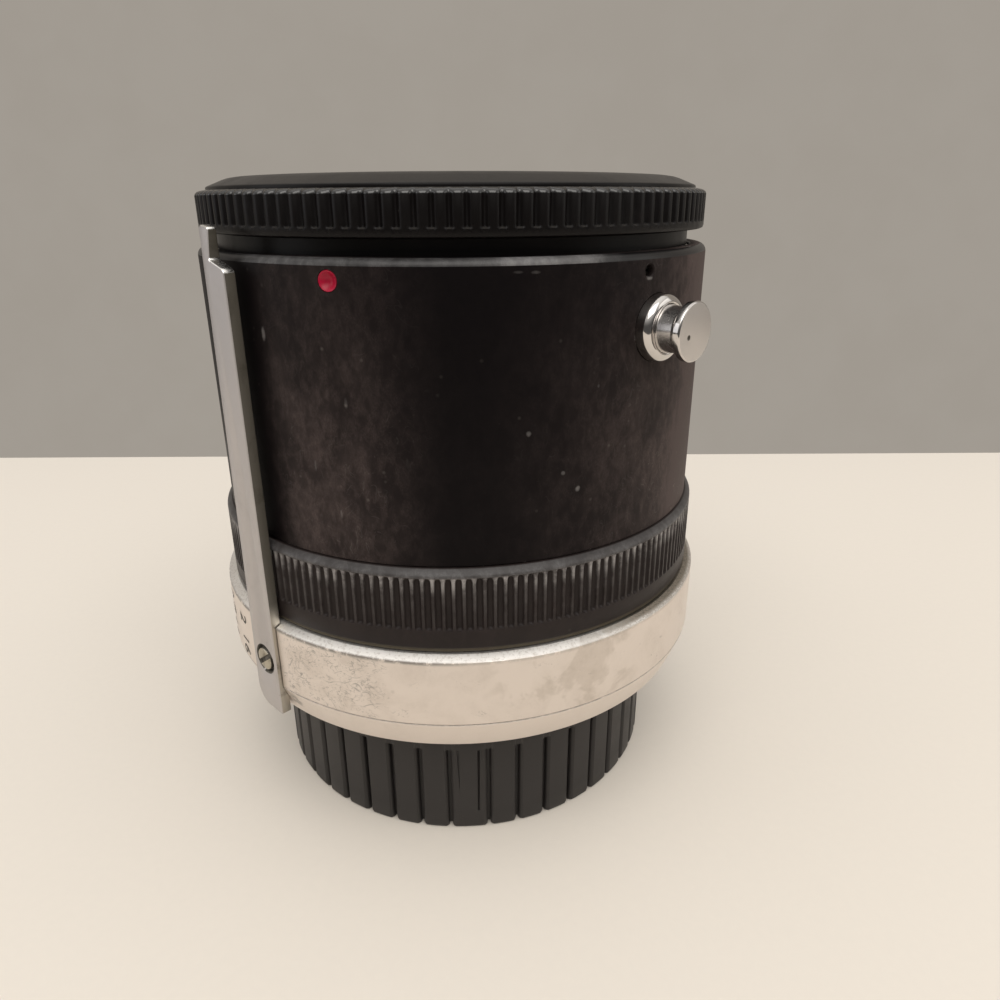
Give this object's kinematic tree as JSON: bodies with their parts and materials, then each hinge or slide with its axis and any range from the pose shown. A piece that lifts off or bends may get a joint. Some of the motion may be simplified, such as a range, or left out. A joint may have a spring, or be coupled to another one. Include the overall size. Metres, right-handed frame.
{
  "type": "camera teleconverter",
  "caption": "Cylindrical lens extender with bayonet mounts, a ribbed aperture coupling ring with an outer arm, a sprung lens release and removable end caps.",
  "frame": {"origin": "on the optical axis at the underside of the rear cap, on which the converter stands", "axes": "+Z along the optical axis towards the lens, -Y towards the picture's viewer, +X to the viewer's right"},
  "size_m": [0.0657, 0.0656, 0.0781],
  "materials": {
    "cap_satin": "satin moulded plastic",
    "cap_gloss": "glossy moulded plastic",
    "tube_black": "black satin anodised aluminium",
    "grip_black": "black satin anodised aluminium, ribbed",
    "inner_black": "matt black anodised aluminium",
    "satin_silver": "satin anodised, lightly scratched",
    "arm_chrome": "satin chrome plate",
    "screw_nickel": "nickel plated",
    "polished_chrome": "polished chrome plate",
    "mount_chrome": "turned and chrome plated brass",
    "steel": "plain steel",
    "dark_steel": "blackened steel",
    "spring_steel": "drawn spring wire",
    "brass": "turned",
    "red_paint": "gloss enamel fill",
    "glass": "coated optical glass"
  },
  "bodies": {
    "rear_cap": {"rear_cap": "cap_satin"},
    "converter": {"body_tube": "tube_black", "chassis": "inner_black", "front_mount": "mount_chrome", "front_mount_screws": "steel", "mount_springs": "spring_steel", "throat_baffle": "inner_black", "rear_mount": "mount_chrome", "rear_mount_screws": "steel", "button_collar": "polished_chrome", "lock_spring": "spring_steel", "index_dot": "red_paint", "tube_set_screws": "dark_steel", "lens_cell": "inner_black", "cell_lock_ring": "inner_black", "lens_1": "glass", "lens_2": "glass", "lens_3": "glass", "lens_4": "glass", "lens_5": "glass", "front_spacer": "inner_black", "rear_spacer": "inner_black", "front_retainer": "inner_black", "rear_retainer": "inner_black", "transfer_clip": "spring_steel", "return_spring": "spring_steel"},
    "coupling": {"coupling_ring": "satin_silver", "grip_ring": "grip_black", "coupling_arm": "arm_chrome", "arm_screw": "screw_nickel"},
    "button": {"release_button": "polished_chrome", "button_clip": "steel"},
    "lock": {"lock_pin": "steel"},
    "transfer": {"transfer_ring": "brass", "front_lever": "steel", "rear_lever": "steel", "lever_screws": "steel"},
    "front_cap": {"front_cap": "cap_gloss"}
  },
  "joints": [
    {"name": "converter_lift", "type": "slide", "parent": "rear_cap", "child": "converter", "axis": [0, 0, 1], "range_m": [0, 0.03]},
    {"name": "front_cap_lift", "type": "slide", "parent": "converter", "child": "front_cap", "axis": [0, 0, 1], "range_m": [0, 0.03]},
    {"name": "coupling_turn", "type": "hinge", "parent": "converter", "child": "coupling", "pos_m": [0, 0, 0.0296], "axis": [0, 0, 1], "range_deg": [-15, 45]},
    {"name": "button_press", "type": "slide", "parent": "converter", "child": "button", "axis": [-0.7071, 0.7071, 0], "range_m": [0, 0.0015], "stiffness_N_per_m": 400, "springref_m": -0.002, "deforming": ["lock_spring"]},
    {"name": "lock_pin_drop", "type": "slide", "parent": "converter", "child": "lock", "axis": [0, 0, -1], "range_m": [0, 0.0015], "deforming": ["lock_spring"]},
    {"name": "transfer_turn", "type": "hinge", "parent": "converter", "child": "transfer", "pos_m": [0, 0, 0.04575], "axis": [0, 0, 1], "range_deg": [0, 22], "stiffness_Nm_per_rad": 0.02, "springref_deg": -17.19, "deforming": ["return_spring"]}
  ],
  "couplings": [
    {"joint": "lock_pin_drop", "follows": "button_press", "ratio": 1}
  ]
}
